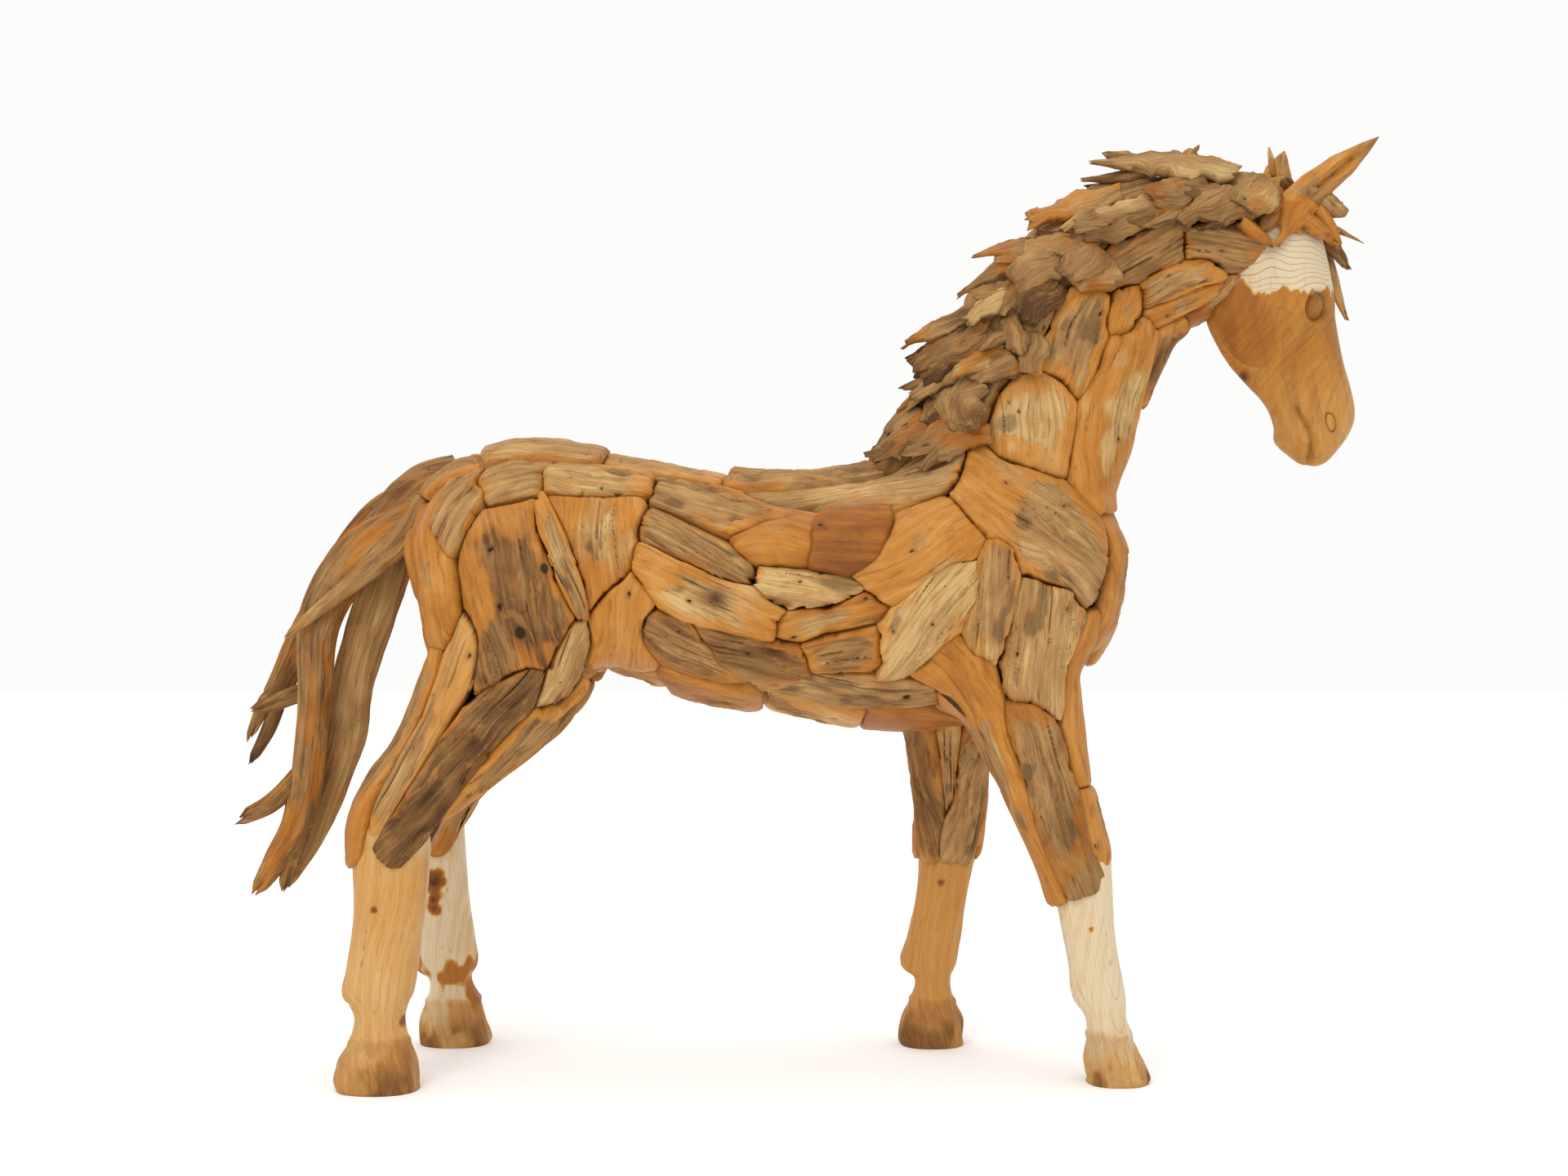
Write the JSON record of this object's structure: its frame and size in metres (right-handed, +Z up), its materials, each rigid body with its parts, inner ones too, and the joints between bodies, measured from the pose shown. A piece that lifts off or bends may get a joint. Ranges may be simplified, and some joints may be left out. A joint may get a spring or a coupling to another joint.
{
  "type": "driftwood horse sculpture",
  "caption": "Life-size standing horse built from slabs, strips and branches of weathered teak driftwood, with carved head, legs and hooves.",
  "frame": {"origin": "on the ground, under the middle of the whole work's box", "axes": "+X from tail to head, +Y to the horse's left, +Z up"},
  "size_m": [2.1661, 0.5361, 1.7811],
  "materials": {
    "sanded_teak": "satin, sanded and oiled, with grain and fine cracks",
    "brown_teak": "satin, darker sanded wood with weathered patches",
    "pale_teak": "matt, pale weathered wood",
    "weathered_teak": "matt, rough weathered driftwood",
    "bleached_teak": "satin, bleached and smooth",
    "honey_teak": "satin, smooth honey-coloured wood",
    "dark_teak": "matt, dark weathered splinters"
  },
  "bodies": {
    "root": {"head": "sanded_teak", "loin_slab": "sanded_teak", "rib_block": "sanded_teak", "saddle_plank": "weathered_teak", "oval_rib": "sanded_teak", "heart_side_slab": "sanded_teak", "pale_rib": "pale_teak", "grey_rib": "weathered_teak", "knot_rib": "sanded_teak", "low_flank_slab": "sanded_teak", "violet_rib": "brown_teak", "eye_rib": "sanded_teak", "pale_girth_slab": "pale_teak", "belly_slab": "brown_teak", "thigh_slab": "brown_teak", "buttock_slab": "sanded_teak", "croup_side_slabs": "sanded_teak", "croup_plank": "pale_teak", "hip_slab": "sanded_teak", "stifle_slab": "sanded_teak", "rough_stifle_slab": "sanded_teak", "dark_gaskin_slab": "brown_teak", "honey_gaskin_strip": "honey_teak", "rear_gaskin_strips": "sanded_teak", "front_gaskin_strip": "sanded_teak", "shoulder_slab": "weathered_teak", "rear_shoulder_strip": "sanded_teak", "rough_shoulder_slab": "sanded_teak", "chest_slabs": "sanded_teak", "rear_arm_strips": "sanded_teak", "middle_arm_slab": "brown_teak", "front_arm_strips": "sanded_teak", "neck_base_slab": "pale_teak", "throat_slab": "sanded_teak", "neck_middle_slab": "sanded_teak", "crest_grey_slab": "weathered_teak", "poll_slab": "weathered_teak", "throat_latch_slabs": "sanded_teak", "back_ridge": "sanded_teak", "underbelly": "sanded_teak", "throat_ridge": "sanded_teak", "right_mane_upper": "dark_teak", "right_mane_lower": "dark_teak", "left_mane": "dark_teak", "left_rib_slabs": "sanded_teak", "left_flank_slabs": "sanded_teak", "left_haunch_slabs": "sanded_teak", "left_gaskin_strips": "sanded_teak", "left_shoulder_slabs": "sanded_teak", "left_arm_strips": "sanded_teak", "left_neck_slabs": "sanded_teak", "right_hind_leg": "honey_teak", "left_hind_leg": "bleached_teak", "right_fore_leg": "bleached_teak", "left_fore_leg": "honey_teak", "right_ear": "pale_teak", "left_ear": "pale_teak", "forelock": "sanded_teak", "tail_branches": "brown_teak", "tail_slabs": "weathered_teak"}
  },
  "joints": []
}
